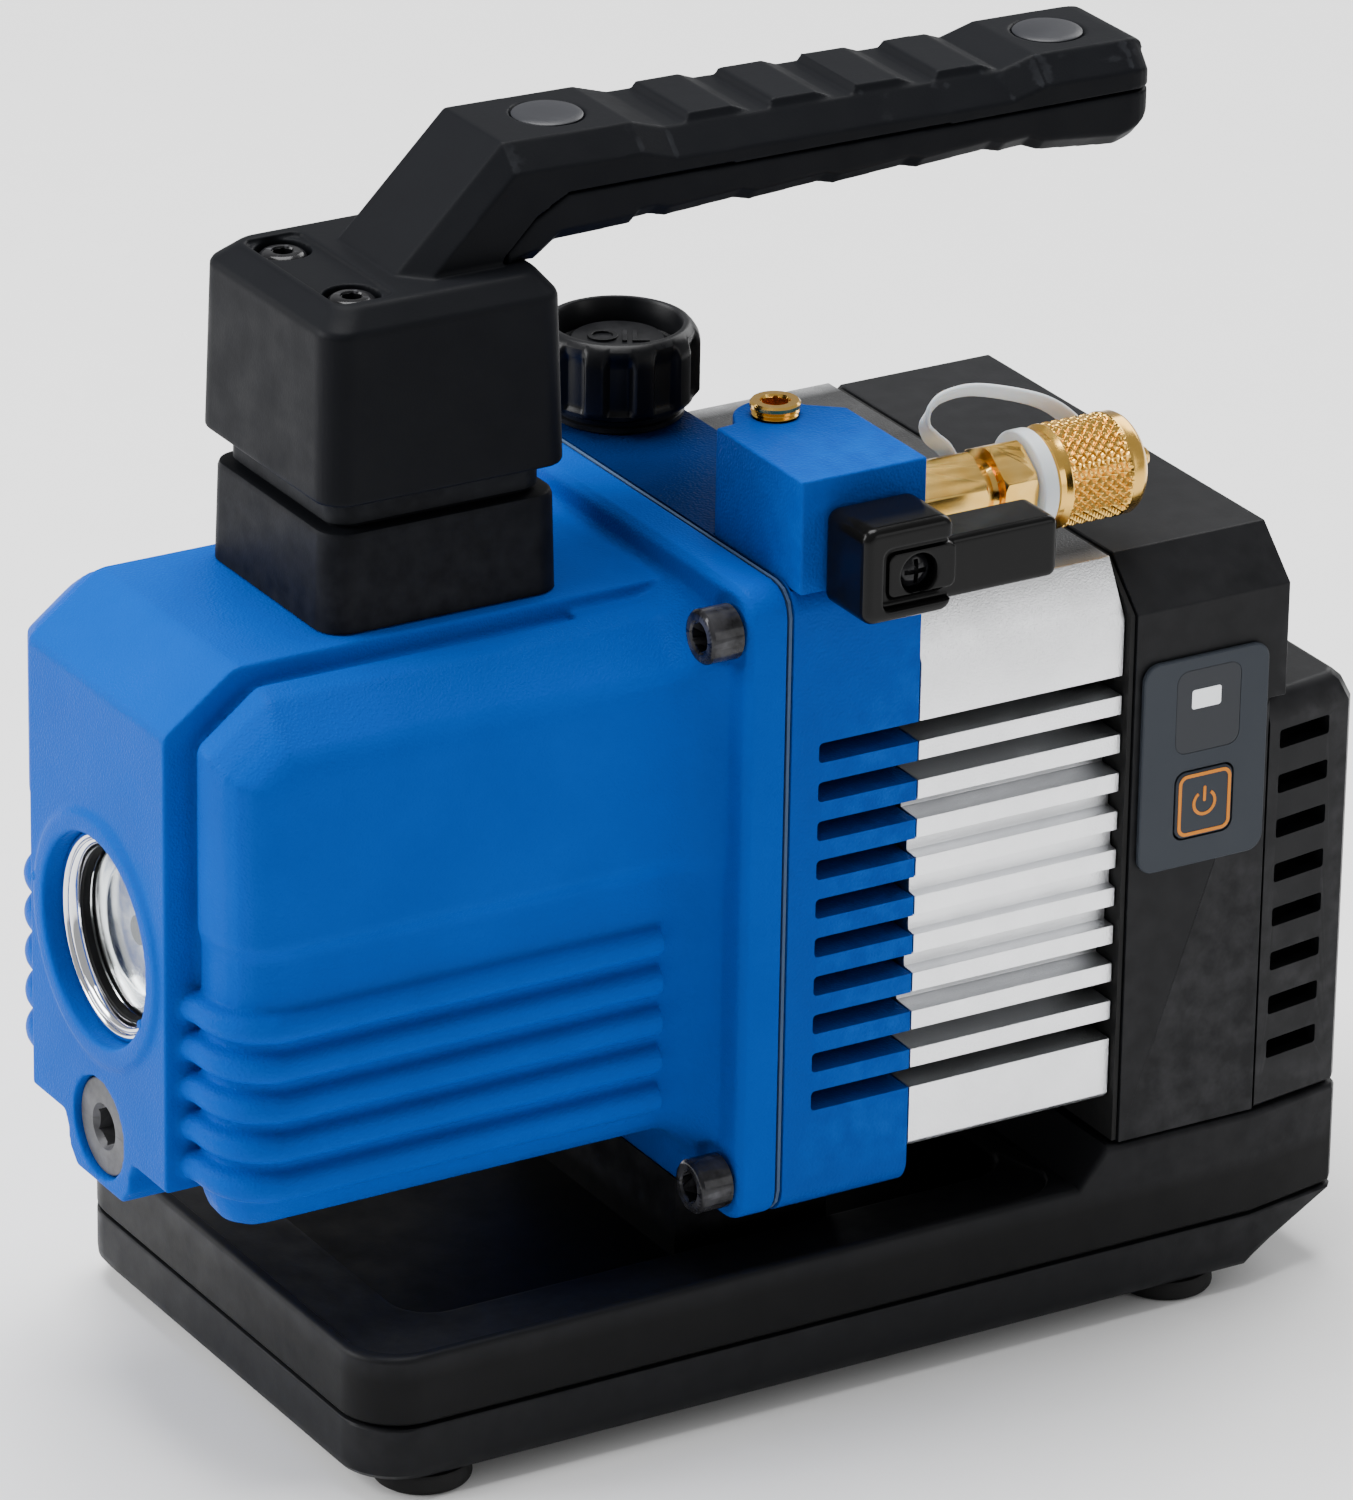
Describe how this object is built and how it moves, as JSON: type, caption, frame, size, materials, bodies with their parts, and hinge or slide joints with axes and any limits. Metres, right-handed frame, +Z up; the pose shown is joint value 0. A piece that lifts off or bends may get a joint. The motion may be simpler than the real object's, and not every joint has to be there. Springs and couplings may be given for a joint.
{
  "type": "rotary vane vacuum pump",
  "caption": "Cordless rotary vane vacuum pump: ribbed oil tank with sight glass, finned motor, battery housing, carry handle and brass inlet.",
  "frame": {"origin": "middle of the object's box, on the floor under the feet", "axes": "+X to the side with the control panel and valve lever, -Y to the sight glass end, +Y to the battery end, +Z up"},
  "size_m": [0.1248, 0.2358, 0.2326],
  "materials": {
    "tank_blue": "fine textured satin",
    "block_blue": "fine textured satin",
    "base_plastic": "fine spark texture",
    "housing_plastic": "fine spark texture",
    "handle_plastic": "fine spark texture",
    "foot_rubber": "matte",
    "seal_rubber": "matte",
    "motor_aluminium": "satin anodised",
    "reflector_aluminium": "bright",
    "machined_steel": "ground",
    "chrome": "polished",
    "glass": "clear",
    "paper": "fibre gasket",
    "black_oxide": "black oxide",
    "graphite": "satin",
    "vane_carbon": "ground",
    "brass": "polished",
    "strap_plastic": "translucent, soft",
    "lever_plastic": "satin",
    "cap_plastic": "satin",
    "label_slate": "satin film",
    "key_orange": "satin",
    "board_green": "lacquered",
    "copper": "enamelled copper wire",
    "filter_felt": "pressed felt"
  },
  "bodies": {
    "housing": {"base_bottom": "base_plastic", "base_tray": "base_plastic", "bearing_plate": "machined_steel", "cap_strap": "strap_plastic", "control_board": "board_green", "control_label": "label_slate", "exhaust_filter": "filter_felt", "filler_neck": "cap_plastic", "foot_front_l": "foot_rubber", "foot_front_r": "foot_rubber", "foot_rear_l": "foot_rubber", "foot_rear_r": "foot_rubber", "grip_lower": "handle_plastic", "handle_head": "handle_plastic", "handle_post": "handle_plastic", "handle_screw_l": "black_oxide", "handle_screw_r": "black_oxide", "housing_gasket": "seal_rubber", "inlet_block": "block_blue", "inlet_fitting": "brass", "motor_housing": "motor_aluminium", "motor_stator": "copper", "oil_tank": "tank_blue", "port_plug": "brass", "pump_block": "block_blue", "pump_stator": "machined_steel", "rear_cover": "housing_plastic", "rear_housing": "housing_plastic", "shaft_seal": "seal_rubber", "sight_bezel": "chrome", "sight_lens": "glass", "sight_reflector": "reflector_aluminium", "sight_seal": "seal_rubber", "stator_cover": "machined_steel", "tank_bolt_low_l": "black_oxide", "tank_bolt_low_r": "black_oxide", "tank_bolt_top_l": "black_oxide", "tank_bolt_top_r": "black_oxide", "tank_gasket": "paper"},
    "rotor": {"pump_rotor": "machined_steel", "shaft": "machined_steel", "motor_rotor": "machined_steel", "fan": "cap_plastic"},
    "vane_right": {"vane_r": "vane_carbon"},
    "vane_left": {"vane_l": "vane_carbon"},
    "exhaust_flap": {"exhaust_valve": "machined_steel"},
    "lever": {"valve_lever": "lever_plastic", "lever_screw": "black_oxide", "valve_ball": "chrome"},
    "filler_carrier": {"filler_seal": "seal_rubber"},
    "filler_cap_body": {"filler_cap": "cap_plastic"},
    "flare_carrier": {"strap_ring": "strap_plastic", "cap_seal": "seal_rubber"},
    "flare_cap_body": {"flare_cap": "brass"},
    "drain_carrier": {"drain_seal": "seal_rubber"},
    "drain_plug_body": {"drain_plug": "graphite"},
    "power_key": {"power_button": "key_orange"},
    "battery": {"battery_pack": "housing_plastic"},
    "battery_key": {"battery_latch": "key_orange"}
  },
  "joints": [
    {"name": "rotor_spin", "type": "hinge", "parent": "housing", "child": "rotor", "pos_m": [-0.0064, 0.0031, 0.092], "axis": [0, 1, 0], "continuous": true},
    {"name": "vane_right_slide", "type": "slide", "parent": "rotor", "child": "vane_right", "axis": [1, 0, 0], "range_m": [0, 0.0034]},
    {"name": "vane_left_slide", "type": "slide", "parent": "rotor", "child": "vane_left", "axis": [-1, 0, 0], "range_m": [0, 0.0034]},
    {"name": "exhaust_flap_lift", "type": "slide", "parent": "housing", "child": "exhaust_flap", "axis": [0, 0, 1], "range_m": [0, 0.0018], "stiffness_N_per_m": 300},
    {"name": "lever_turn", "type": "hinge", "parent": "housing", "child": "lever", "pos_m": [0.0334, 0.0087, 0.1631], "axis": [1, 0, 0], "range_deg": [0, 90]},
    {"name": "filler_cap_turn", "type": "hinge", "parent": "filler_carrier", "child": "filler_cap_body", "pos_m": [-0.0398, 0.0069, 0.17], "axis": [0, 0, 1], "range_deg": [0, 1080]},
    {"name": "filler_cap_lift", "type": "slide", "parent": "housing", "child": "filler_carrier", "axis": [0, 0, 1], "range_m": [0, 0.009]},
    {"name": "flare_cap_turn", "type": "hinge", "parent": "flare_carrier", "child": "flare_cap_body", "pos_m": [0.0334, 0.0581, 0.1631], "axis": [0, -1, 0], "range_deg": [0, 2160]},
    {"name": "flare_cap_travel", "type": "slide", "parent": "housing", "child": "flare_carrier", "axis": [0, 1, 0], "range_m": [0, 0.00762]},
    {"name": "drain_plug_turn", "type": "hinge", "parent": "drain_carrier", "child": "drain_plug_body", "pos_m": [-0.0064, -0.1169, 0.0574], "axis": [0, 1, 0], "range_deg": [0, 1440]},
    {"name": "drain_plug_travel", "type": "slide", "parent": "housing", "child": "drain_carrier", "axis": [0, -1, 0], "range_m": [0, 0.006]},
    {"name": "power_press", "type": "slide", "parent": "housing", "child": "power_key", "axis": [-1, 0, 0], "range_m": [0, 0.0012], "stiffness_N_per_m": 600},
    {"name": "battery_slide", "type": "slide", "parent": "housing", "child": "battery", "axis": [0, 1, 0], "range_m": [0, 0.045]},
    {"name": "battery_key_press", "type": "slide", "parent": "battery", "child": "battery_key", "axis": [0, -1, 0], "range_m": [0, 0.002], "stiffness_N_per_m": 300}
  ],
  "couplings": [
    {"joint": "filler_cap_turn", "follows": "filler_cap_lift", "rad_per_m": 2094.4},
    {"joint": "flare_cap_turn", "follows": "flare_cap_travel", "rad_per_m": 4947.4},
    {"joint": "drain_plug_turn", "follows": "drain_plug_travel", "rad_per_m": 4188.8}
  ]
}
